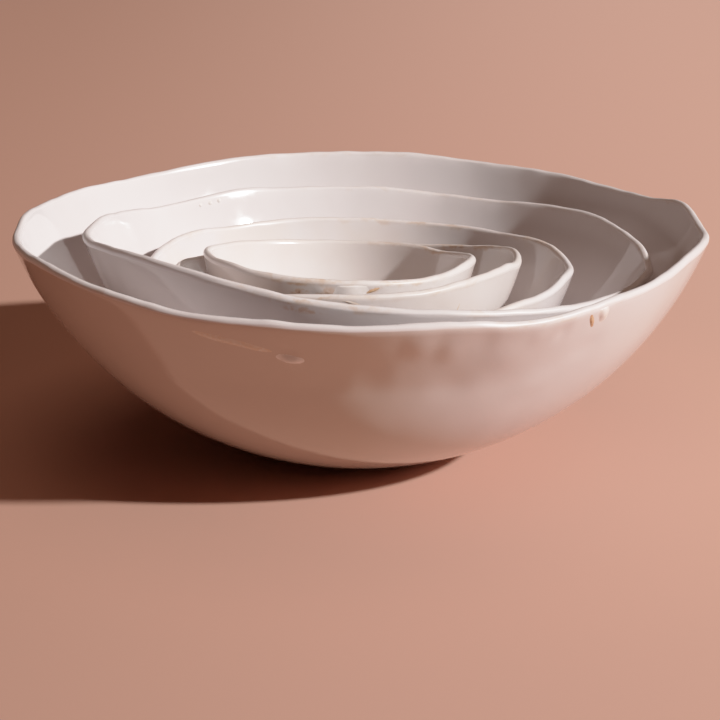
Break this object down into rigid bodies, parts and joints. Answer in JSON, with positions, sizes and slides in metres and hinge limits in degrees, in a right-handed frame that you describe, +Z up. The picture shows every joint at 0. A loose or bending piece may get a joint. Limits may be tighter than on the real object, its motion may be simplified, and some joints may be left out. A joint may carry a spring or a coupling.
{
  "type": "nesting bowl set",
  "caption": "Nest of round-bottomed hand-formed porcelain bowls with uneven, softly rounded rims, each lying loose and a little askew in the next larger one.",
  "frame": {"origin": "centre of the flat foot under the outer bowl", "axes": "+Z up out of the nest, +X to the right and +Y to the back as the nest lies"},
  "size_m": [0.2778, 0.2791, 0.0998],
  "materials": {
    "outer_glaze": "glossy",
    "second_glaze": "glossy",
    "middle_glaze": "glossy",
    "fourth_glaze": "glossy",
    "inner_glaze": "glossy"
  },
  "bodies": {
    "outer_bowl": {"outer_bowl": "outer_glaze"},
    "second_bowl": {"second_bowl": "second_glaze"},
    "middle_bowl": {"middle_bowl": "middle_glaze"},
    "fourth_bowl": {"fourth_bowl": "fourth_glaze"},
    "inner_bowl": {"inner_bowl": "inner_glaze"}
  },
  "joints": [
    {"name": "lift_second", "type": "slide", "parent": "outer_bowl", "child": "second_bowl", "axis": [0, 0, 1], "range_m": [0, 0.105]},
    {"name": "lift_middle", "type": "slide", "parent": "second_bowl", "child": "middle_bowl", "axis": [0, 0, 1], "range_m": [0, 0.105]},
    {"name": "lift_fourth", "type": "slide", "parent": "middle_bowl", "child": "fourth_bowl", "axis": [0, 0, 1], "range_m": [0, 0.08]},
    {"name": "lift_inner", "type": "slide", "parent": "fourth_bowl", "child": "inner_bowl", "axis": [0, 0, 1], "range_m": [0, 0.08]}
  ]
}
